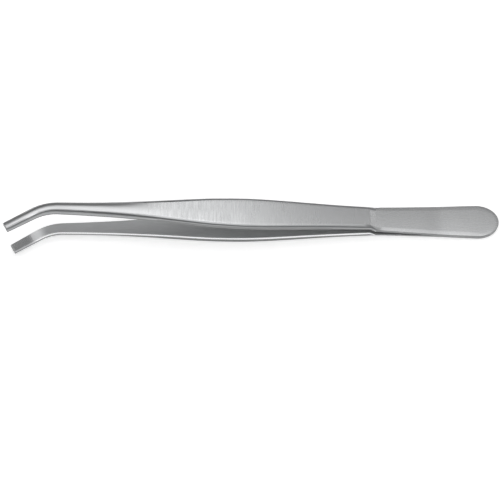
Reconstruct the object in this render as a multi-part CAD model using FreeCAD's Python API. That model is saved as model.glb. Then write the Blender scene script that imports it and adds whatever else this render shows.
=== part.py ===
import FreeCAD, Part
import math
import os

# Thumb forceps with blunt tips that are bent to one side.
# Each arm is drawn as the upper one: its inner face towards the middle plane z = 0, its butt end
# at station 0, and stations run along the middle line of the arm to the tip.
# Sizes are in millimetres and angles in degrees.

# Lengths along the arm: the whole arm from butt to tip, places from the butt, and lengths from the tip
arm_length = 145.3
weld_length = 16.5
shoulder_start = 36.6
shoulder_length = 1.6
widest_at = 74.0
straight_neck_length = 7.7
bent_length = 12.6
bend_angle = 31.4
bend_radius = 14.0

# Spring blade and butt
blade_thickness = 0.95
blade_edge_round = 0.2
butt_width = 10.1
butt_end_length = 6.4
blade_width_at_shoulder = 7.65

# Width of the forged part
grip_width_start = 7.05
grip_width_widest = 9.5
neck_width = 3.65
tip_width = 3.0

# Thickness of the forged part
grip_thickness_start = 1.9
grip_thickness_widest = 2.5
neck_thickness = 2.65
tip_thickness = 2.1

# Rounding of the outer edges, the slope that the crowned outer face has at those edges, and how much
# of the way from the widest place to the neck stays as flat as the grip
grip_edge_round = 0.75
neck_edge_round = 1.3
tip_edge_round = 1.1
grip_crown = 1.5
neck_crown = 24.0
tip_crown = 20.0
flat_share = 0.05

# Lean of the ground sides, which makes each forged part narrower at its inner face
side_draft = 7.0

# Half opening, from the middle plane to the inner face
half_gap_at_shoulder = 0.94
half_gap_at_widest = 3.0
half_gap_at_neck = 5.9
half_gap_at_tip = 6.7

# Grooves across the inner face of the tip, and the rounded end
groove_count = 12
groove_pitch = 0.5
groove_depth = 0.12
groove_first = 0.7
tip_end_round = 0.35

# How the blade narrows behind the butt, and how the grip swells and slims: each pair is a share of
# the way along, and a share of the change in width
blade_taper = [(0.0, 0.0), (0.17, 0.13), (0.37, 0.36), (0.78, 0.8), (1.0, 1.0)]
grip_swell = [(0.0, 0.0), (0.25, 0.21), (0.5, 0.5), (0.72, 0.79), (0.9, 0.97), (1.0, 1.0)]
neck_slim = [(0.0, 0.0), (0.18, 0.08), (0.3, 0.22), (0.41, 0.39), (0.53, 0.57), (0.65, 0.72), (0.77, 0.85),
             (1.0, 1.0)]
spring_opening = [(0.0, 0.0), (0.27, 0.23), (0.62, 0.56), (1.0, 1.0)]
grip_opening = [(0.0, 0.0), (0.5, 0.5), (1.0, 1.0)]
neck_opening = [(0.0, 0.0), (0.33, 0.34), (0.66, 0.7), (1.0, 1.0)]

# Spacing of the sections that the shapes are drawn through, and how far a cutter runs out of the solid
blade_step = 4.0
section_step = 3.0
cut_margin = 1.0

# Places that follow from the sizes above
shoulder_end = shoulder_start + shoulder_length
bend_corner = arm_length - bent_length
neck_at = bend_corner - straight_neck_length
bend_tangent = bend_radius * math.tan(math.radians(bend_angle) / 2)
bend_start = bend_corner - bend_tangent
bend_end = bend_start + bend_radius * math.radians(bend_angle)
tip_end = bend_end + bent_length - bend_tangent


def curve(points, at):
    """Value at a place, on a curve through the points that never overshoots them."""
    if at <= points[0][0]:
        return points[0][1]
    if at >= points[-1][0]:
        return points[-1][1]
    steps = []
    for before, after in zip(points, points[1:]):
        steps.append((after[1] - before[1]) / (after[0] - before[0]))
    slopes = [steps[0]]
    for before, after in zip(steps, steps[1:]):
        if before * after <= 0:
            slopes.append(0.0)
        else:
            slopes.append(2 * before * after / (before + after))
    slopes.append(steps[-1])
    i = 0
    while at > points[i + 1][0]:
        i += 1
    span = points[i + 1][0] - points[i][0]
    s = (at - points[i][0]) / span
    value = (2 * s ** 3 - 3 * s ** 2 + 1) * points[i][1]
    value += (s ** 3 - 2 * s ** 2 + s) * span * slopes[i]
    value += (3 * s ** 2 - 2 * s ** 3) * points[i + 1][1]
    value += (s ** 3 - s ** 2) * span * slopes[i + 1]
    return value


def spread(shares, start, end, first, last):
    """Table of places and values from a table of shares."""
    return [(start + a * (end - start), first + b * (last - first)) for a, b in shares]


blade_widths = spread(blade_taper, butt_end_length, shoulder_start, butt_width, blade_width_at_shoulder)
body_widths = spread(grip_swell, shoulder_end, widest_at, grip_width_start, grip_width_widest)
body_widths += spread(neck_slim, widest_at, neck_at, grip_width_widest, neck_width)[1:]
body_widths += [(tip_end, tip_width)]

half_gaps = [(0.0, 0.0)]
half_gaps += spread(spring_opening, weld_length, shoulder_start, 0.0, half_gap_at_shoulder)
half_gaps += spread(grip_opening, shoulder_start, widest_at, half_gap_at_shoulder, half_gap_at_widest)[1:]
half_gaps += spread(neck_opening, widest_at, neck_at, half_gap_at_widest, half_gap_at_neck)[1:]
half_gaps += [(tip_end, half_gap_at_tip)]


def body_value(at_shoulder, at_widest, at_neck, at_tip):
    """Table of a size that is set at four places of the forged part."""
    return [(shoulder_end, at_shoulder), (widest_at, at_widest), (neck_at, at_neck), (tip_end, at_tip)]


thicknesses = body_value(grip_thickness_start, grip_thickness_widest, neck_thickness, tip_thickness)
edge_rounds = body_value(grip_edge_round, grip_edge_round, neck_edge_round, tip_edge_round)
crowns = body_value(grip_crown, grip_crown, neck_crown, tip_crown)
crowns.insert(2, (widest_at + flat_share * (neck_at - widest_at), grip_crown))


def middle_line(station):
    """Point of the middle line in plan, and the angle it has turned towards -Y."""
    if station <= bend_start:
        return -station, 0.0, 0.0
    turned = min(station - bend_start, bend_end - bend_start) / bend_radius
    x = -bend_start - bend_radius * math.sin(turned)
    y = -bend_radius * (1 - math.cos(turned))
    beyond = max(0.0, station - bend_end)
    return x - beyond * math.cos(turned), y - beyond * math.sin(turned), turned


def section(station, width, thickness, edge_round, crown, floor, draft):
    """Closed outline across the arm: flat inner face, leaning sides, rounded edges, crowned top."""
    x, y, turned = middle_line(station)
    half = width / 2
    radius = min(edge_round, 0.8 * half, 0.8 * thickness)
    slope = math.radians(crown)
    flat = half - radius + radius * math.sin(slope)
    rise = 0.0
    if crown > 0:
        rise = flat / math.sin(slope) * (1 - math.cos(slope))
    if rise > 0.5 * (thickness - radius):
        slope = slope * 0.5 * (thickness - radius) / rise
        flat = half - radius + radius * math.sin(slope)
        rise = flat / math.sin(slope) * (1 - math.cos(slope))
    side = thickness - rise - radius * math.cos(slope)
    inner = max(half / 2, half - side * math.tan(math.radians(draft)))

    def point(across, up):
        return FreeCAD.Vector(x - across * math.sin(turned), y + across * math.cos(turned), floor + up)

    def round_point(sign, angle):
        return point(sign * (half - radius + radius * math.cos(angle)), side + radius * math.sin(angle))

    top = math.pi / 2 - slope
    low = [point(-inner, 0), point(inner, 0)]
    edges = [Part.makeLine(low[0], low[1]), Part.makeLine(low[1], round_point(1, 0))]
    edges.append(Part.Arc(round_point(1, 0), round_point(1, top / 2), round_point(1, top)).toShape())
    if crown > 0:
        edges.append(Part.Arc(round_point(1, top), point(0, thickness), round_point(-1, top)).toShape())
    else:
        edges.append(Part.makeLine(round_point(1, top), round_point(-1, top)))
    edges.append(Part.Arc(round_point(-1, top), round_point(-1, top / 2), round_point(-1, 0)).toShape())
    edges.append(Part.makeLine(round_point(-1, 0), low[0]))
    return Part.Wire(edges)


def blade_section(station):
    return section(station, curve(blade_widths, station), blade_thickness, blade_edge_round, 0,
                   curve(half_gaps, station), 0)


def body_section(station, inset=0.0):
    """Section of the forged part, drawn in by the inset on its outer face and both sides."""
    return section(station, curve(body_widths, station) - 2 * inset, curve(thicknesses, station) - inset,
                   curve(edge_rounds, station), curve(crowns, station), curve(half_gaps, station),
                   side_draft)


def places(start, end, step):
    """Evenly spaced stations from start to end."""
    count = max(2, math.ceil((end - start) / step))
    return [start + (end - start) * i / count for i in range(count + 1)]


def make_butt():
    """Flat welded plate with a rounded end and rounded outer edges."""
    half = butt_width / 2
    stations = places(butt_end_length, weld_length, section_step)
    side = [FreeCAD.Vector(-s, curve(blade_widths, s) / 2, 0) for s in stations]
    other = [FreeCAD.Vector(p.x, -p.y, 0) for p in side]
    edges = []
    for points in (side, other):
        line = Part.BSplineCurve()
        line.interpolate(points)
        edges.append(line.toShape())
    if butt_end_length > half:
        ellipse = Part.Ellipse(FreeCAD.Vector(-butt_end_length, 0, 0), butt_end_length, half)
        edges.append(Part.ArcOfEllipse(ellipse, -math.pi / 2, math.pi / 2).toShape())
    else:
        corners = [FreeCAD.Vector(0, half, 0), FreeCAD.Vector(half, 0, 0), FreeCAD.Vector(0, -half, 0)]
        shorter = FreeCAD.Matrix()
        shorter.scale(butt_end_length / half, 1, 1)
        shorter.move(-butt_end_length, 0, 0)
        edges.append(Part.Arc(*corners).toShape().transformGeometry(shorter))
    edges.append(Part.makeLine(side[-1], other[-1]))
    outline = Part.Wire(Part.__sortEdges__(edges))
    plate = Part.Face(outline).extrude(FreeCAD.Vector(0, 0, blade_thickness))
    rim = []
    for edge in plate.Edges:
        box = edge.BoundBox
        if box.ZMin > blade_thickness / 2 and box.XLength > blade_edge_round:
            rim.append(edge)
    return plate.makeFillet(blade_edge_round, rim)


def make_tip_end():
    """Rounded end of the tip, from sections that shrink along a quarter circle."""
    start = tip_end - tip_end_round
    wires = []
    for i in range(6):
        angle = math.radians(15 * i)
        inset = tip_end_round * (1 - math.cos(angle))
        wires.append(body_section(start + tip_end_round * math.sin(angle), inset))
    return Part.makeLoft(wires, True, True)


def groove_cutters():
    """Wedges that cut the grooves across the inner face of the tip."""
    wedges = []
    for i in range(groove_count):
        station = tip_end - groove_first - i * groove_pitch
        x, y, turned = middle_line(station)
        floor = curve(half_gaps, station)
        along = FreeCAD.Vector(-math.cos(turned), -math.sin(turned), 0)
        across = FreeCAD.Vector(-math.sin(turned), math.cos(turned), 0)
        reach = curve(body_widths, station) / 2 + cut_margin
        spread_out = 0.42 * groove_pitch * (groove_depth + cut_margin) / groove_depth
        start = FreeCAD.Vector(x, y, floor) - across * reach
        low = start - FreeCAD.Vector(0, 0, cut_margin)
        bottom = start + FreeCAD.Vector(0, 0, groove_depth)
        corners = [low - along * spread_out, bottom, low + along * spread_out]
        wedge = Part.Face(Part.makePolygon(corners + corners[:1]))
        wedges.append(wedge.extrude(across * (2 * reach)))
    return wedges


def make_arm():
    """Upper arm with its inner face over the middle plane."""
    stations = places(weld_length, shoulder_start, blade_step)
    spring = Part.makeLoft([blade_section(s) for s in stations], True, False)
    ramp = Part.makeLoft([blade_section(shoulder_start), body_section(shoulder_end)], True, True)
    stations = places(shoulder_end, tip_end - tip_end_round, section_step)
    body = Part.makeLoft([body_section(s) for s in stations], True, False)
    arm = make_butt().fuse([spring, ramp, body, make_tip_end()])
    arm = arm.cut(groove_cutters())
    return arm.Solids[0]


def rest_tilt():
    """Angle that lays the outer face of the lower arm on a table."""
    steepest = 0.0
    for station in places(shoulder_end, tip_end, 0.5):
        depth = curve(half_gaps, station) + curve(thicknesses, station) - blade_thickness
        steepest = max(steepest, depth / (station - blade_edge_round))
    return math.degrees(math.atan(steepest))


upper = make_arm()
lower = upper.mirror(FreeCAD.Vector(0, 0, 0), FreeCAD.Vector(0, 0, 1))
lower = Part.Solid(lower.Shells[0]) if lower.ShapeType != "Solid" else lower
for shape in (upper, lower):
    shape.rotate(FreeCAD.Vector(0, 0, 0), FreeCAD.Vector(0, 1, 0), rest_tilt())

both = Part.makeCompound([upper, lower]).optimalBoundingBox(False)
shift = FreeCAD.Vector(-(both.XMin + both.XMax) / 2, -(both.YMin + both.YMax) / 2, -both.ZMin)
os.makedirs("parts", exist_ok=True)
for name, shape in (("upper_arm", upper), ("lower_arm", lower)):
    shape.translate(shift)
    shape.exportStep("parts/" + name + ".step")
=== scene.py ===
import math

import bmesh
import bpy
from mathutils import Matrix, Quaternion, Vector


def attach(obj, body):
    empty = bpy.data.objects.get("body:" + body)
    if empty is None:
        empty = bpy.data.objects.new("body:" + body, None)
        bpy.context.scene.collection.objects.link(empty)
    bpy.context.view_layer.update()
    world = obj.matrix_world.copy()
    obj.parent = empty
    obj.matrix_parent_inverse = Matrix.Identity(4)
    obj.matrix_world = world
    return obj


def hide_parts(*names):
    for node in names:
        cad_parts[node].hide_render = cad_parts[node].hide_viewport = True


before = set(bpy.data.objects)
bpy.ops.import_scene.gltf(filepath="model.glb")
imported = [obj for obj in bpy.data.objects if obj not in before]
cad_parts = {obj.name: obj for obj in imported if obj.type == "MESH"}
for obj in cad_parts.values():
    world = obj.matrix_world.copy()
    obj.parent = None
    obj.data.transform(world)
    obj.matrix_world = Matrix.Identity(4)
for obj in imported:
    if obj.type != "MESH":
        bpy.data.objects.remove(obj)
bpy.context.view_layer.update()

mm = 0.001
hair = 1e-6     # metres, less than the space between any two rings of vertices
print("frame loaded:", ", ".join(sorted(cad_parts)))

# one arm of the forceps, in mm and degrees; it is drawn straight, from the butt at x = 0 towards -X
arm = {
    "length": 145.3, "weld": 16.5, "shoulderStart": 36.6, "shoulderLength": 1.6,
    "widestAt": 74.0,
    "straightNeck": 7.7, "bentPart": 12.6, "bendAngle": 31.4, "bendRadius": 14.0,
    "bladeThickness": 0.95, "bladeRound": 0.2, "buttWidth": 10.1, "buttEnd": 6.4,
    "bladeWidth": 7.65,
    # width, thickness, edge round and crown at the shoulder, widest place, neck and tip
    "widths": (7.05, 9.5, 3.65, 3.0),
    "thicknesses": (1.9, 2.5, 2.65, 2.1),
    "edgeRounds": (0.75, 0.75, 1.35, 1.0),
    "crowns": (0.8, 0.8, 28.0, 12.0),
    "flatShare": 0.42,                 # part of the way to the neck that stays as flat as the grip
    "draft": 7.0,
    # half of the opening between the arms at the same four places
    "halfGaps": (0.94, 3.0, 5.9, 6.7),
    # shares of the way and of the change between two places
    "bladeTaper": ((0, 0), (0.17, 0.13), (0.37, 0.36), (0.78, 0.8), (1, 1)),
    "gripSwell": ((0, 0), (0.25, 0.21), (0.5, 0.5), (0.72, 0.79), (0.9, 0.97), (1, 1)),
    "neckSlim": ((0, 0), (0.18, 0.08), (0.3, 0.22), (0.41, 0.39), (0.53, 0.57), (0.65, 0.72),
                 (0.77, 0.85), (1, 1)),
    "springOpening": ((0, 0), (0.27, 0.23), (0.62, 0.56), (1, 1)),
    "gripOpening": ((0, 0), (0.5, 0.5), (1, 1)),
    "neckOpening": ((0, 0), (0.33, 0.34), (0.66, 0.7), (1, 1)),
    "tipRound": 0.3, "innerEdgeRound": 0.07,
    # polishing leaves the spring a little crowned, and lower along its rim;
    # deburring leaves the inner corners eased
    "bladeCrown": 2.0, "bladeEase": 1.1, "bladeEaseDrop": 0.09, "bladeRim": 0.985,
    "innerEase": 0.2, "innerEaseHeight": 0.5, "bladeEaseHeight": 0.4,
    # vertices: shares of the half width, heights as shares of the thickness that part one row
    # from the next, how near to its column a vertex lies, and the space from ring to ring
    "columns": (-1, -0.667, -0.333, 0, 0.333, 0.667, 1),
    "lowRow": 0.1, "highRow": 0.55, "topRow": 0.9, "columnReach": 0.02,
    "buttStep": 2.6, "bladeStep": 1.7, "ringStep": 1.9, "tipStep": 1.5, "bendSteps": 10,
}
# fine V grooves across the inner face of the tip, in mm; the first one is nearest to the end
grooves = {"count": 12, "pitch": 0.5, "depth": 0.12, "first": 0.7, "halfOpening": 0.21,
           "below": 0.028}

arm["shoulderEnd"] = arm["shoulderStart"] + arm["shoulderLength"]
arm["bendCorner"] = arm["length"] - arm["bentPart"]
arm["neckAt"] = arm["bendCorner"] - arm["straightNeck"]
bendTangent = arm["bendRadius"] * math.tan(math.radians(arm["bendAngle"]) / 2)
arm["bendStart"] = arm["bendCorner"] - bendTangent
arm["bendEnd"] = arm["bendStart"] + arm["bendRadius"] * math.radians(arm["bendAngle"])
arm["tipEnd"] = arm["bendEnd"] + arm["bentPart"] - bendTangent
bendStep = (arm["bendEnd"] - arm["bendStart"]) / arm["bendSteps"]
bendStations = [arm["bendStart"] + (i + 0.5) * bendStep for i in range(arm["bendSteps"])]


def smoothValue(points, at):
    # value on a smooth line through the points, which never swings past them
    if at <= points[0][0]:
        return points[0][1]
    if at >= points[-1][0]:
        return points[-1][1]
    steps = [(b[1] - a[1]) / (b[0] - a[0]) for a, b in zip(points, points[1:])]
    slopes = [steps[0]]
    for before, after in zip(steps, steps[1:]):
        slopes.append(0 if before * after <= 0 else 2 * before * after / (before + after))
    slopes.append(steps[-1])
    i = 0
    while at > points[i + 1][0]:
        i += 1
    span = points[i + 1][0] - points[i][0]
    s = (at - points[i][0]) / span
    return ((2 * s ** 3 - 3 * s ** 2 + 1) * points[i][1]
            + (s ** 3 - 2 * s ** 2 + s) * span * slopes[i]
            + (3 * s ** 2 - 2 * s ** 3) * points[i + 1][1]
            + (s ** 3 - s ** 2) * span * slopes[i + 1])


def between(shares, start, end, first, last):
    return [(start + a * (end - start), first + b * (last - first)) for a, b in shares]


def fourPlaces(values):
    return list(zip((arm["shoulderEnd"], arm["widestAt"], arm["neckAt"], arm["tipEnd"]), values))


startWidth, gripWidth, neckWidth, tipWidth = arm["widths"]
startGap, gripGap, neckGap, tipGap = arm["halfGaps"]
bladeWidths = between(arm["bladeTaper"], arm["buttEnd"], arm["shoulderStart"],
                      arm["buttWidth"], arm["bladeWidth"])
bodyWidths = between(arm["gripSwell"], arm["shoulderEnd"], arm["widestAt"], startWidth, gripWidth)
bodyWidths += between(arm["neckSlim"], arm["widestAt"], arm["neckAt"], gripWidth, neckWidth)[1:]
bodyWidths.append((arm["tipEnd"], tipWidth))
halfGaps = [(0, 0)] + between(arm["springOpening"], arm["weld"], arm["shoulderStart"], 0, startGap)
halfGaps += between(arm["gripOpening"], arm["shoulderStart"], arm["widestAt"],
                    startGap, gripGap)[1:]
halfGaps += between(arm["neckOpening"], arm["widestAt"], arm["neckAt"], gripGap, neckGap)[1:]
halfGaps.append((arm["tipEnd"], tipGap))
thicknesses, edgeRounds = fourPlaces(arm["thicknesses"]), fourPlaces(arm["edgeRounds"])
flatTo = arm["widestAt"] + arm["flatShare"] * (arm["neckAt"] - arm["widestAt"])
crowns = fourPlaces(arm["crowns"])
crowns.insert(2, (flatTo, arm["crowns"][1]))


def sectionAt(at):
    # sizes of the section at a distance from the butt
    if at <= arm["shoulderStart"]:
        return {"half": smoothValue(bladeWidths, at) / 2, "tall": arm["bladeThickness"],
                "floor": smoothValue(halfGaps, at), "round": arm["bladeRound"],
                "crown": math.radians(arm["bladeCrown"]), "lean": 0.0,
                "ease": 0.0, "easeHeight": arm["bladeEaseHeight"]}
    return {"half": smoothValue(bodyWidths, at) / 2, "tall": smoothValue(thicknesses, at),
            "floor": smoothValue(halfGaps, at), "round": smoothValue(edgeRounds, at),
            "crown": math.radians(smoothValue(crowns, at)), "lean": math.radians(arm["draft"]),
            "ease": arm["innerEase"], "easeHeight": arm["innerEaseHeight"]}


def crownDrop(section, share):
    # how far the outer face lies below its own middle at a share of the half width
    across = abs(share) * section["half"]
    flat = section["half"] - section["round"] * (1 - math.sin(section["crown"]))
    curve = flat / math.sin(section["crown"])
    if across <= flat:
        return curve - math.sqrt(curve ** 2 - across ** 2)
    return curve * (1 - math.cos(section["crown"])) + (across - flat) * math.tan(section["crown"])


def evenly(start, end, step):
    count = max(1, math.ceil((end - start) / step))
    return [start + (end - start) * (i + 1) / count for i in range(count)]


def pick(piece, wanted):
    # in edit mode: selects the vertices that the test accepts, and nothing else
    bpy.ops.mesh.select_all(action="DESELECT")
    mesh = bmesh.from_edit_mesh(piece.data)
    for vertex in mesh.verts:
        if wanted(vertex.co):
            vertex.select = True
    mesh.select_flush(True)
    bmesh.update_edit_mesh(piece.data, loop_triangles=False, destructive=False)


def pickedHeight(piece):
    return next(v.co.z for v in bmesh.from_edit_mesh(piece.data).verts if v.select)


def applied(piece, kind, **settings):
    modifier = piece.modifiers.new(kind.lower(), kind)
    for name, value in settings.items():
        setattr(modifier, name, value)
    bpy.context.view_layer.objects.active = piece
    bpy.ops.object.modifier_apply(modifier=modifier.name)


def editAlone(piece):
    # edit mode for one piece, all of it selected
    bpy.ops.object.select_all(action="DESELECT")
    piece.select_set(True)
    bpy.context.view_layer.objects.active = piece
    bpy.ops.object.mode_set(mode="EDIT")
    bpy.ops.mesh.select_mode(type="VERT")
    bpy.ops.mesh.select_all(action="SELECT")


def startPiece(name):
    piece = bpy.context.object
    piece.name = name
    piece.data.name = name
    editAlone(piece)
    return piece


def makeButt():
    # round plate, pressed to an ellipse, and cut in half at its widest place
    bpy.ops.object.select_all(action="DESELECT")
    thick = arm["bladeThickness"] * mm
    bpy.ops.mesh.primitive_cylinder_add(vertices=96, radius=mm, depth=thick,
                                        location=(0, 0, thick / 2))
    bpy.ops.object.transform_apply(location=True)
    piece = startPiece("upperArmSteel")
    bpy.ops.transform.resize(value=(arm["buttEnd"], arm["buttWidth"] / 2, 1),
                             center_override=(0, 0, 0))
    bpy.ops.transform.translate(value=(-arm["buttEnd"] * mm, 0, 0))
    bpy.ops.mesh.bisect(plane_co=(-arm["buttEnd"] * mm, 0, 0), plane_no=(1, 0, 0),
                        use_fill=True, clear_inner=True)
    for share in arm["columns"][1:-1]:
        bpy.ops.mesh.select_all(action="SELECT")
        bpy.ops.mesh.bisect(plane_co=(0, share * arm["buttWidth"] / 2 * mm, 0),
                            plane_no=(0, 1, 0))
    section = sectionAt(arm["buttEnd"])
    bpy.ops.mesh.select_all(action="SELECT")
    bpy.ops.mesh.bisect(plane_co=(0, 0, section["easeHeight"] * mm), plane_no=(0, 0, 1))
    mesh = bmesh.from_edit_mesh(piece.data)
    for vertex in mesh.verts:
        if vertex.co.z > arm["topRow"] * thick:
            vertex.co.z -= crownDrop(section, vertex.co.y / mm / section["half"]) * mm
    bmesh.update_edit_mesh(piece.data)
    return piece


def growArm(piece):
    # pulls the cut face of the butt out to the tip, ring by ring
    stations = evenly(arm["buttEnd"], arm["weld"], arm["buttStep"])
    stations += evenly(arm["weld"], arm["shoulderStart"], arm["bladeStep"])
    stations += [arm["shoulderEnd"]]
    stations += evenly(arm["shoulderEnd"], arm["bendStart"], arm["ringStep"])
    stations += bendStations + evenly(arm["bendEnd"], arm["tipEnd"], arm["tipStep"])
    at, old = arm["buttEnd"], sectionAt(arm["buttEnd"])
    old["inner"] = old["wall"] = old["half"]
    for station in stations:
        new = sectionAt(station)
        side = new["tall"] - crownDrop(new, 1) - new["round"]
        new["wall"] = new["half"] - max(0, side - new["easeHeight"]) * math.tan(new["lean"])
        new["inner"] = new["half"] - side * math.tan(new["lean"]) - new["ease"]
        pick(piece, lambda co: co.x < -at * mm + hair)
        step = ((at - station) * mm, 0, (new["floor"] - old["floor"]) * mm)
        bpy.ops.mesh.extrude_region_move(TRANSFORM_OT_translate={"value": step})
        bpy.ops.transform.resize(value=(1, new["half"] / old["half"], new["tall"] / old["tall"]),
                                 center_override=(-station * mm, 0, new["floor"] * mm))
        edge = -station * mm + hair
        low, high = [(new["floor"] + arm[row] * new["tall"]) * mm for row in ("lowRow", "highRow")]
        rows = (("inner", 0, lambda co: co.x < edge and co.z < low),
                ("wall", new["easeHeight"], lambda co: co.x < edge and low < co.z < high))
        for row, height, onRow in rows:
            pick(piece, onRow)
            bpy.ops.transform.resize(value=(1, new[row] / old[row] * old["half"] / new["half"], 1),
                                     center_override=(-station * mm, 0, new["floor"] * mm))
            wanted = (new["floor"] + height) * mm
            bpy.ops.transform.translate(value=(0, 0, wanted - pickedHeight(piece)))
        for share in arm["columns"][len(arm["columns"]) // 2:]:
            place, reach = share * new["half"] * mm, arm["columnReach"] * mm
            pick(piece, lambda co: co.x < edge and abs(abs(co.y) - place) < reach and co.z > high)
            wanted = (new["floor"] + new["tall"] - crownDrop(new, share)) * mm
            bpy.ops.transform.translate(value=(0, 0, wanted - pickedHeight(piece)))
        at, old = station, new
    bpy.ops.object.mode_set(mode="OBJECT")


def easeBlade(piece):
    # the outer face of the spring falls away a little along its rim, as hand polishing leaves it
    editAlone(piece)
    bpy.ops.mesh.select_mode(type="FACE")
    bpy.ops.mesh.select_all(action="DESELECT")
    mesh = bmesh.from_edit_mesh(piece.data)
    onBlade, facingUp, slack = -arm["shoulderStart"] * mm, 0.9, 0.01
    for face in mesh.faces:
        face.select = face.normal.z > facingUp and face.calc_center_median().x > onBlade
    bmesh.update_edit_mesh(piece.data)
    bpy.ops.mesh.inset(thickness=arm["bladeEase"] * mm, depth=0)
    bpy.ops.mesh.select_mode(type="VERT")

    def onRim(co):
        station = -co.x / mm
        section = sectionAt(station)
        height = co.z / mm - section["floor"]
        if station > arm["shoulderStart"] - slack or height < arm["bladeThickness"] / 2:
            return False
        if station > arm["buttEnd"]:
            return abs(co.y) / mm > section["half"] - slack
        along, across = 1 - station / arm["buttEnd"], 2 * co.y / mm / arm["buttWidth"]
        return along ** 2 + across ** 2 > arm["bladeRim"]

    pick(piece, onRim)
    bpy.ops.transform.translate(value=(0, 0, -arm["bladeEaseDrop"] * mm))
    bpy.ops.object.mode_set(mode="OBJECT")


def roundEdges(piece):
    # bevel weights: wide on the outer edges, a hair on the inner ones
    mesh = bmesh.new()
    mesh.from_mesh(piece.data)
    weights = mesh.edges.layers.float.new("bevel_weight_edge")
    widest, sharpFrom, outerFrom, uprightFrom = 1.2, math.radians(45), 0.4, 0.3
    for edge in mesh.edges:
        if len(edge.link_faces) != 2 or edge.calc_face_angle() < sharpFrom:
            continue
        middle = (edge.verts[0].co + edge.verts[1].co) / 2
        section = sectionAt(-middle.x / mm)
        high = middle.z / mm - section["floor"] > outerFrom * section["tall"]
        if all(v.co.x < -arm["tipEnd"] * mm + hair for v in edge.verts):
            upright = abs(edge.verts[0].co.z - edge.verts[1].co.z) > uprightFrom * mm
            edge[weights] = (arm["tipRound"] if high or upright else arm["innerEdgeRound"]) / widest
        elif high:
            corner = math.pi / 2 - section["crown"] + section["lean"]
            edge[weights] = section["round"] * math.tan(corner / 2) / widest
        else:
            edge[weights] = arm["innerEdgeRound"] / widest
    mesh.to_mesh(piece.data)
    mesh.free()
    applied(piece, "BEVEL", width=widest * mm, segments=5, limit_method="WEIGHT",
            use_clamp_overlap=False)


def cutGrooves(piece):
    # three-sided bar, widened to the groove's section, then repeated along the tip
    station = arm["tipEnd"] - grooves["first"]
    floor = smoothValue(halfGaps, station)
    back = floor - smoothValue(halfGaps, station - grooves["pitch"])
    tall = grooves["depth"] + grooves["below"]
    half = grooves["halfOpening"] * tall / grooves["depth"]
    bpy.ops.object.select_all(action="DESELECT")
    bpy.ops.mesh.primitive_cylinder_add(vertices=3, radius=mm, depth=2 * tipWidth * mm,
                                        rotation=(math.pi / 2, 0, 0))
    bpy.ops.object.transform_apply(rotation=True)
    bar = startPiece("grooveBar")
    corners = [v.co.copy() for v in bmesh.from_edit_mesh(bar.data).verts]
    tip = max(corners, key=lambda co: abs(co.z))
    wide = max(co.x for co in corners) - min(co.x for co in corners)
    high = max(co.z for co in corners) - min(co.z for co in corners)
    turn = 1 if tip.z > 0 else -1
    bpy.ops.transform.resize(value=(2 * half * mm / wide, 1, turn * tall * mm / high),
                             center_override=(0, 0, 0))
    lowest = min(v.co.z for v in bmesh.from_edit_mesh(bar.data).verts)
    under = (floor - grooves["below"]) * mm
    bpy.ops.transform.translate(value=(-station * mm, 0, under - lowest))
    bpy.ops.mesh.select_all(action="SELECT")
    bpy.ops.mesh.normals_make_consistent(inside=False)
    bpy.ops.object.mode_set(mode="OBJECT")
    applied(bar, "ARRAY", count=grooves["count"], use_relative_offset=False,
            use_constant_offset=True,
            constant_offset_displace=(grooves["pitch"] * mm, 0, -back * mm))
    applied(piece, "BOOLEAN", operation="DIFFERENCE", object=bar, solver="EXACT")
    bpy.data.objects.remove(bar)


# limits for the finishes: how far a face looks up and how far it looks sideways, from -1 to 1,
# degrees beyond the crown, and the place in mm where the painted highlight on the inner corner
# stops, in the tip
limits = {"bladeUp": 0.8, "bladeLean": 0.14, "gripUp": 0.7, "gripPastCrown": 5.0, "innerUp": -0.8,
          "cornerUp": -0.25, "cornerLean": 0.6, "cornerHighlightEnd": 138.0, "sideUp": 0.1, "flatUp": 0.6}
finishOrder = ("blade", "grip", "inner", "edge", "corner", "side")


# picks a finish by which way a face looks; the lighter and darker finishes among them are painted
# highlight and painted shade
def finishOf(station, up, lean):
    crown = sectionAt(station)["crown"]
    gripLean = math.sin(crown + math.radians(limits["gripPastCrown"]))
    if station < arm["shoulderEnd"] and up > limits["bladeUp"] and lean < limits["bladeLean"]:
        return "blade"
    if up > limits["gripUp"] and lean < gripLean:
        return "grip"
    if up < limits["innerUp"]:
        return "inner"
    if up < limits["cornerUp"] and lean > limits["cornerLean"]:
        # faces on the eased inner corner get the lighter finish, a painted highlight that stops
        # short of the tip
        return "corner" if station < limits["cornerHighlightEnd"] else "inner"
    # walls get the side finish and rounded edges the edge finish, both darkened with painted shade
    return "side" if up < limits["sideUp"] else "edge"


def markFinishes(piece):
    # while the arm is straight: coordinates in metres for the brush lines, along the arm and
    # across it, and a finish for each face
    layer = piece.data.uv_layers[0]
    layer.name = "alongAndAcross"
    piece.data.materials.clear()
    for steel in steels:
        piece.data.materials.append(steel)
    for face in piece.data.polygons:
        flat = abs(face.normal.z) > limits["flatUp"]
        for corner in face.loop_indices:
            co = piece.data.vertices[piece.data.loops[corner].vertex_index].co
            layer.data[corner].uv = (-co.x, co.y if flat else co.z)
        finish = finishOf(-face.center.x / mm, face.normal.z, abs(face.normal.y))
        face.material_index = finishOrder.index(finish)


def bendTip(piece):
    # from the tip backwards, each ring of the bend turns by half a step, and all that is
    # beyond it by a whole one
    editAlone(piece)
    share = math.radians(arm["bendAngle"]) / arm["bendSteps"] / 2
    for station in reversed(bendStations):
        for slack in (hair, -hair):
            pick(piece, lambda co: co.x < -station * mm + slack)
            bpy.ops.transform.rotate(value=-share, orient_axis="Z", orient_type="GLOBAL",
                                     center_override=(-station * mm, 0, 0))
    bpy.ops.object.mode_set(mode="OBJECT")


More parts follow.
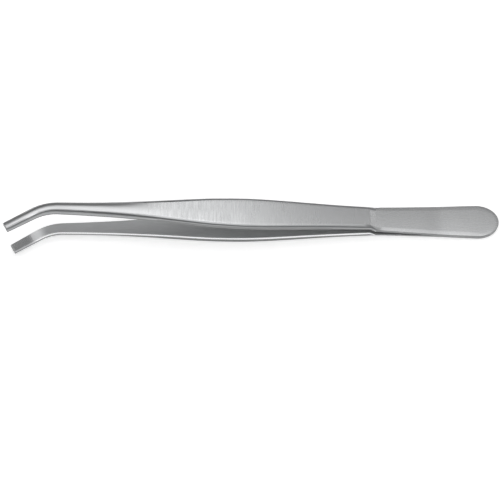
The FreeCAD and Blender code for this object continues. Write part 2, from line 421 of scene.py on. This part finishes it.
def restTilt():
    # angle at which the lower arm's back lies on the table, looked for every half mm
    steepest = 0
    for station in [arm["shoulderEnd"]] + evenly(arm["shoulderEnd"], arm["tipEnd"], 0.5):
        section = sectionAt(station)
        depth = section["floor"] + section["tall"] - arm["bladeThickness"]
        steepest = max(steepest, depth / (station - arm["bladeRound"]))
    return math.atan(steepest)


def srgb(code):
    # hex colour of a colour card, turned to the linear values that shaders use
    parts = [int(code[i:i + 2], 16) / 255 for i in (1, 3, 5)]
    return [p / 12.92 if p <= 0.04045 else ((p + 0.055) / 1.055) ** 2.4 for p in parts] + [1.0]


def addNode(tree, kind, settings=None, inputs=None):
    # one node with its settings; an input is a value, or the socket that feeds it
    node = tree.nodes.new(kind)
    for name, value in (settings or {}).items():
        setattr(node, name, value)
    for name, value in (inputs or {}).items():
        if isinstance(value, bpy.types.NodeSocket):
            tree.links.new(value, node.inputs[name])
        else:
            node.inputs[name].default_value = value
    return node


# under the lines lie faint clouds, by their size in mm and their share; then the noise levels
# that give the dark and the light colour, and what is left of the lines on the smooth neck
pattern = {"cloudSize": 7.0, "cloudShare": 0.3, "darkFrom": 0.32, "lightFrom": 0.68,
           "linesLeft": 0.12, "smoothShade": 0.6}
# martensitic stainless steel, in the order of finishOrder; lengths and bump heights in mm
steelFinishes = {
    # fine belt, drawn along the spring: a soft sheen that spreads across the blade
    "bladeBrushedSteel": {
        "dark": "#C9CACB", "light": "#D5D6D7", "roughness": 0.27, "roughnessSpread": 0.08,
        "lineSpacing": 0.22, "lineLength": 14.0, "linesRunAlong": True, "bump": 0.0012,
        "anisotropy": 0.45, "turn": 0.25},
    # coarser belt, drawn across the grip: upright streaks that die out towards the smooth neck;
    # lines of 0.1 mm, drawn at 0.3 mm so that they show
    "gripBrushedSteel": {
        "dark": "#BDBEBF", "light": "#CCCDCE", "roughness": 0.25, "roughnessSpread": 0.08,
        "lineSpacing": 0.3, "lineLength": 5.0, "linesRunAlong": False, "bump": 0.0018,
        "anisotropy": 0.5, "turn": 0.0,
        "fadeFrom": 96.0, "fadeTo": 114.0, "neckRoughness": 0.34},
    # inner faces, tumbled matt: an even grey with no streaks to speak of
    "innerMattSteel": {
        "dark": "#B8B9BA", "light": "#C1C2C3", "roughness": 0.5, "roughnessSpread": 0.06,
        "lineSpacing": 0.35, "lineLength": 3.0, "linesRunAlong": True, "bump": 0.001,
        "anisotropy": 0.0, "turn": 0.0,
        # a painted highlight: a bright patch across the inner face near the tip
        "highlightPatch": 8.2, "highlightPatchFull": 0.3, "highlightPatchReach": 3.4, "highlightPatchColour": "#F6F7F8"},
    # rounded edges, smoother than the faces, and darker with painted shade
    "groundEdgePaintedShadeSteel": {
        "dark": "#989A9B", "light": "#A8A9AA", "roughness": 0.3, "roughnessSpread": 0.08,
        "lineSpacing": 0.18, "lineLength": 9.0, "linesRunAlong": True, "bump": 0.0008,
        "anisotropy": 0.3, "turn": 0.25},
    # the eased inner corners, lightened with a painted highlight: a thin light line along the lower
    # arm
    "deburredEdgePaintedHighlightSteel": {
        "dark": "#E2E3E4", "light": "#ECEDEE", "roughness": 0.22, "roughnessSpread": 0.04,
        "lineSpacing": 0.18, "lineLength": 9.0, "linesRunAlong": True, "bump": 0.0004,
        "anisotropy": 0.0, "turn": 0.0},
    # sides left as ground, with no polish, so duller than the rest; their darker colour is painted
    # shade
    "groundSidePaintedShadeSteel": {
        "dark": "#7B7C7D", "light": "#888989", "roughness": 0.42, "roughnessSpread": 0.08,
        "lineSpacing": 0.16, "lineLength": 6.0, "linesRunAlong": True, "bump": 0.0012,
        "anisotropy": 0.2, "turn": 0.25},
}


def makeSteel(name, finish):
    material = bpy.data.materials.new(name)
    material.use_nodes = True
    tree = material.node_tree
    tree.nodes.clear()
    uv = addNode(tree, "ShaderNodeUVMap", {"uv_map": "alongAndAcross"})
    fine, long = 1 / (finish["lineSpacing"] * mm), 1 / (finish["lineLength"] * mm)
    scale = (long, fine, 1) if finish["linesRunAlong"] else (fine, long, 1)
    stretched = addNode(tree, "ShaderNodeMapping", {}, {"Vector": uv.outputs["UV"], "Scale": scale})
    lines = addNode(tree, "ShaderNodeTexNoise", {}, {
        "Vector": stretched.outputs["Vector"], "Scale": 1.0, "Detail": 3.0, "Roughness": 0.6})
    place = addNode(tree, "ShaderNodeTexCoord")
    clouds = addNode(tree, "ShaderNodeTexNoise", {}, {
        "Vector": place.outputs["Object"], "Scale": 1 / (pattern["cloudSize"] * mm),
        "Detail": 2.0})
    mixed = addNode(tree, "ShaderNodeMix", {"data_type": "FLOAT"}, {
        "Factor": pattern["cloudShare"], "A": lines.outputs["Fac"], "B": clouds.outputs["Fac"]})
    spread = addNode(tree, "ShaderNodeMapRange", {"clamp": True}, {
        "Value": mixed.outputs["Result"],
        "From Min": pattern["darkFrom"], "From Max": pattern["lightFrom"]})
    shade, strength = spread.outputs["Result"], 1.0
    if "fadeFrom" in finish:
        # the lines die out towards the neck, which was polished smooth
        station = addNode(tree, "ShaderNodeSeparateXYZ", {}, {"Vector": uv.outputs["UV"]})
        keep = addNode(tree, "ShaderNodeMapRange", {"interpolation_type": "SMOOTHSTEP"}, {
            "Value": station.outputs["X"],
            "From Min": finish["fadeFrom"] * mm, "From Max": finish["fadeTo"] * mm,
            "To Min": 1.0, "To Max": pattern["linesLeft"]})
        strength = keep.outputs["Result"]
        shade = addNode(tree, "ShaderNodeMix", {"data_type": "FLOAT"}, {
            "Factor": strength, "A": pattern["smoothShade"], "B": shade}).outputs["Result"]
    colour = addNode(tree, "ShaderNodeMix", {"data_type": "RGBA"}, {"Factor": shade})
    colour.inputs["A"].default_value = srgb(finish["dark"])
    colour.inputs["B"].default_value = srgb(finish["light"])
    steelColour = colour.outputs[2]
    if "highlightPatch" in finish:
        # a painted highlight: the steel is lightened in a patch across the inner face, a little
        # behind the serrations
        along = addNode(tree, "ShaderNodeSeparateXYZ", {}, {"Vector": uv.outputs["UV"]})
        away = addNode(tree, "ShaderNodeMath", {"operation": "SUBTRACT"})
        tree.links.new(along.outputs["X"], away.inputs[0])
        away.inputs[1].default_value = (arm["tipEnd"] - finish["highlightPatch"]) * mm
        apart = addNode(tree, "ShaderNodeMath", {"operation": "ABSOLUTE"})
        tree.links.new(away.outputs[0], apart.inputs[0])
        fade = addNode(tree, "ShaderNodeMapRange", {"interpolation_type": "SMOOTHSTEP"}, {
            "Value": apart.outputs[0],
            "From Min": finish["highlightPatchFull"] * mm, "From Max": finish["highlightPatchReach"] * mm,
            "To Min": 1.0, "To Max": 0.0})
        bright = addNode(tree, "ShaderNodeMix", {"data_type": "RGBA"},
                         {"Factor": fade.outputs["Result"]})
        tree.links.new(steelColour, bright.inputs["A"])
        bright.inputs["B"].default_value = srgb(finish["highlightPatchColour"])
        steelColour = bright.outputs[2]
    rough = addNode(tree, "ShaderNodeMapRange", {}, {
        "Value": shade, "To Min": finish["roughness"] + finish["roughnessSpread"] / 2,
        "To Max": finish["roughness"] - finish["roughnessSpread"] / 2})
    roughness = rough.outputs["Result"]
    if "fadeFrom" in finish:
        roughness = addNode(tree, "ShaderNodeMix", {"data_type": "FLOAT"}, {
            "Factor": strength, "A": finish["neckRoughness"], "B": roughness}).outputs["Result"]
    bump = addNode(tree, "ShaderNodeBump", {}, {
        "Strength": strength, "Distance": finish["bump"] * mm, "Height": lines.outputs["Fac"]})
    tangent = addNode(tree, "ShaderNodeTangent",
                      {"direction_type": "UV_MAP", "uv_map": "alongAndAcross"})
    shader = addNode(tree, "ShaderNodeBsdfPrincipled", {}, {
        "Metallic": 1.0, "Base Color": steelColour, "Roughness": roughness,
        "Normal": bump.outputs["Normal"], "Tangent": tangent.outputs["Tangent"],
        "Anisotropic": finish["anisotropy"], "Anisotropic Rotation": finish["turn"]})
    addNode(tree, "ShaderNodeOutputMaterial", {}, {"Surface": shader.outputs["BSDF"]})
    return material


steels = [makeSteel(name, finish) for name, finish in steelFinishes.items()]

upperArm = makeButt()
growArm(upperArm)
easeBlade(upperArm)
roundEdges(upperArm)
cutGrooves(upperArm)
markFinishes(upperArm)
bendTip(upperArm)
print("arm shaped:", len(upperArm.data.polygons), "faces")

lowerArm = upperArm.copy()
lowerArm.data = upperArm.data.copy()
lowerArm.name = lowerArm.data.name = "lowerArmSteel"
bpy.context.collection.objects.link(lowerArm)
editAlone(lowerArm)
bpy.ops.transform.resize(value=(1, 1, -1), center_override=(0, 0, 0))
bpy.ops.mesh.normals_make_consistent(inside=False)
bpy.ops.object.mode_set(mode="OBJECT")

bothArms = (upperArm, lowerArm)
smoothUpTo = 26     # degrees between two faces that still shade as one
for piece in bothArms:
    editAlone(piece)
    bpy.ops.transform.rotate(value=-restTilt(), orient_axis="Y", orient_type="GLOBAL",
                             center_override=(0, 0, 0))
    bpy.ops.object.mode_set(mode="OBJECT")
points = [v.co for piece in bothArms for v in piece.data.vertices]
low = Vector([min(p[i] for p in points) for i in range(3)])
high = Vector([max(p[i] for p in points) for i in range(3)])
for piece in bothArms:
    editAlone(piece)
    bpy.ops.transform.translate(value=(-(low.x + high.x) / 2, -(low.y + high.y) / 2, -low.z))
    bpy.ops.object.mode_set(mode="OBJECT")
    bpy.ops.object.shade_smooth_by_angle(angle=math.radians(smoothUpTo))
    applied(piece, "WEIGHTED_NORMAL", keep_sharp=True, weight=80)
print("both arms placed:", [round(c / mm, 2) for c in high - low])

for piece, node in ((upperArm, "upper_arm"), (lowerArm, "lower_arm")):
    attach(piece, "root")
    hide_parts(node)
print("steel finishes on both arms")

# the dome's light by the sine of the height, from the horizon, 0, to straight above, 1, and its
# share from the left, -1, to the right, 1; sizes in metres, powers in watts
studio = {"floorSize": 6.0, "wallRadius": 2.9, "wallHeight": 0.5,
          "paperColour": "#F2F2F2", "paperGlow": 0.44, "domeStrength": 4.0,
          "dome": ((0, 0.32), (0.5, 0.29), (0.7, 0.31), (0.8, 0.38), (0.87, 0.46), (0.93, 1.0),
                   (1.0, 1.3)),
          "sides": ((-1, 1.3), (-0.6, 0.95), (-0.3, 0.45), (-0.15, 0.45), (0.1, 0.98),
                    (0.35, 1.0), (0.95, 2.0)),
          "boxPlace": (0.017, 0.02, 0.6), "boxSize": (0.215, 0.84), "boxPower": 0.6,
          "fillPlace": (0, 0, 1.2), "fillSize": 1.6, "fillPower": 5.0}

bpy.ops.object.select_all(action="DESELECT")
bpy.ops.mesh.primitive_plane_add(size=studio["floorSize"], location=(0, 0, 0))
floor = bpy.context.object
floor.name = "studioFloor"
bpy.ops.mesh.primitive_cylinder_add(vertices=96, radius=studio["wallRadius"],
                                    depth=studio["wallHeight"], end_fill_type="NOTHING",
                                    location=(0, 0, studio["wallHeight"] / 2))
wall = bpy.context.object       # low paper wall that hides the horizon
wall.name = "studioWall"
# white card with no gloss; it glows a little to the eye and in mirror images, and lights nothing
paper = bpy.data.materials.new("mattWhitePaper")
paper.use_nodes = True
paper.node_tree.nodes.clear()
card = paper.node_tree
rays = addNode(card, "ShaderNodeLightPath")
seen = rays.outputs["Is Camera Ray"]
for ray in ("Is Glossy Ray", "Is Transmission Ray"):
    either = addNode(card, "ShaderNodeMath", {"operation": "MAXIMUM"})
    card.links.new(seen, either.inputs[0])
    card.links.new(rays.outputs[ray], either.inputs[1])
    seen = either.outputs[0]
strength = addNode(card, "ShaderNodeMath", {"operation": "MULTIPLY"})
card.links.new(seen, strength.inputs[0])
strength.inputs[1].default_value = studio["paperGlow"]
glow = addNode(card, "ShaderNodeEmission", {}, {"Strength": strength.outputs[0]})
matt = addNode(card, "ShaderNodeBsdfDiffuse", {}, {"Color": srgb(studio["paperColour"])})
both = addNode(card, "ShaderNodeAddShader")
card.links.new(matt.outputs[0], both.inputs[0])
card.links.new(glow.outputs[0], both.inputs[1])
addNode(card, "ShaderNodeOutputMaterial", {}, {"Surface": both.outputs[0]})
floor.data.materials.append(paper)
wall.data.materials.append(paper)

world = bpy.data.worlds.new("softStudio")
world.use_nodes = True
bpy.context.scene.world = world
sky = world.node_tree
sky.nodes.clear()
direction = addNode(sky, "ShaderNodeTexCoord")
parts = addNode(sky, "ShaderNodeSeparateXYZ", {}, {"Vector": direction.outputs["Generated"]})


def lightRamp(stops, value):
    # grey ramp through the stops; it holds halves, since a level may go up to 2
    ramp = addNode(sky, "ShaderNodeValToRGB", {}, {"Fac": value})
    elements = ramp.color_ramp.elements
    while len(elements) < len(stops):
        elements.new(0.5)
    for element, (place, level) in zip(elements, stops):
        element.position = place
        element.color = [level / 2] * 3 + [1]
    return ramp.outputs["Color"]


across = addNode(sky, "ShaderNodeMapRange", {}, {
    "Value": parts.outputs["X"], "From Min": -1.0, "From Max": 1.0})
heightLight = lightRamp(studio["dome"], parts.outputs["Z"])
sideStops = [((x + 1) / 2, level) for x, level in studio["sides"]]
sideLight = lightRamp(sideStops, across.outputs["Result"])
domeLight = addNode(sky, "ShaderNodeMix", {"data_type": "RGBA", "blend_type": "MULTIPLY"},
                    {"Factor": 1.0})
sky.links.new(heightLight, domeLight.inputs["A"])
sky.links.new(sideLight, domeLight.inputs["B"])
background = addNode(sky, "ShaderNodeBackground", {}, {
    "Color": domeLight.outputs[2], "Strength": studio["domeStrength"]})
addNode(sky, "ShaderNodeOutputWorld", {}, {"Surface": background.outputs["Background"]})

bpy.ops.object.light_add(type="AREA", location=studio["boxPlace"])
softbox = bpy.context.object
softbox.name = "overheadSoftbox"
softbox.data.shape = "RECTANGLE"
softbox.data.size, softbox.data.size_y = studio["boxSize"]
softbox.data.energy = studio["boxPower"]
bpy.ops.object.light_add(type="AREA", location=studio["fillPlace"])
fill = bpy.context.object
fill.name = "paperFill"
fill.data.size = studio["fillSize"]
fill.data.energy = studio["fillPower"]
fill.visible_glossy = False      # lights the paper, and leaves no mark of its own in the steel
print("studio lit")

# the photograph looks down on the forceps from the front, a little turned and rolled;
# in mm and degrees, with the pixel where the camera's axis meets the picture
shot = {"aim": (0, 0, 6), "distance": 363.4, "elevation": 64.66, "azimuth": -3.8, "roll": -4.5,
        "pixelsPerMm": 3.41, "middle": (253.4, 223.2), "pixels": 500, "sensor": 36}
e, a = math.radians(shot["elevation"]), math.radians(shot["azimuth"])
look = Vector((math.sin(a) * math.cos(e), math.cos(a) * math.cos(e), -math.sin(e)))
bpy.ops.object.camera_add(location=(Vector(shot["aim"]) - look * shot["distance"]) * mm)
camera = bpy.context.object
camera.rotation_mode = "QUATERNION"
roll = Quaternion((0, 0, 1), math.radians(shot["roll"]))
camera.rotation_quaternion = look.to_track_quat("-Z", "Y") @ roll
camera.data.sensor_width = shot["sensor"]
camera.data.lens = shot["pixelsPerMm"] * shot["distance"] * shot["sensor"] / shot["pixels"]
centre = (shot["pixels"] - 1) / 2
camera.data.shift_x = -(shot["middle"][0] - centre) / shot["pixels"]
camera.data.shift_y = (shot["middle"][1] - centre) / shot["pixels"]
camera.data.clip_start = 0.01
bpy.context.scene.camera = camera
bpy.context.scene.view_settings.view_transform = "Standard"
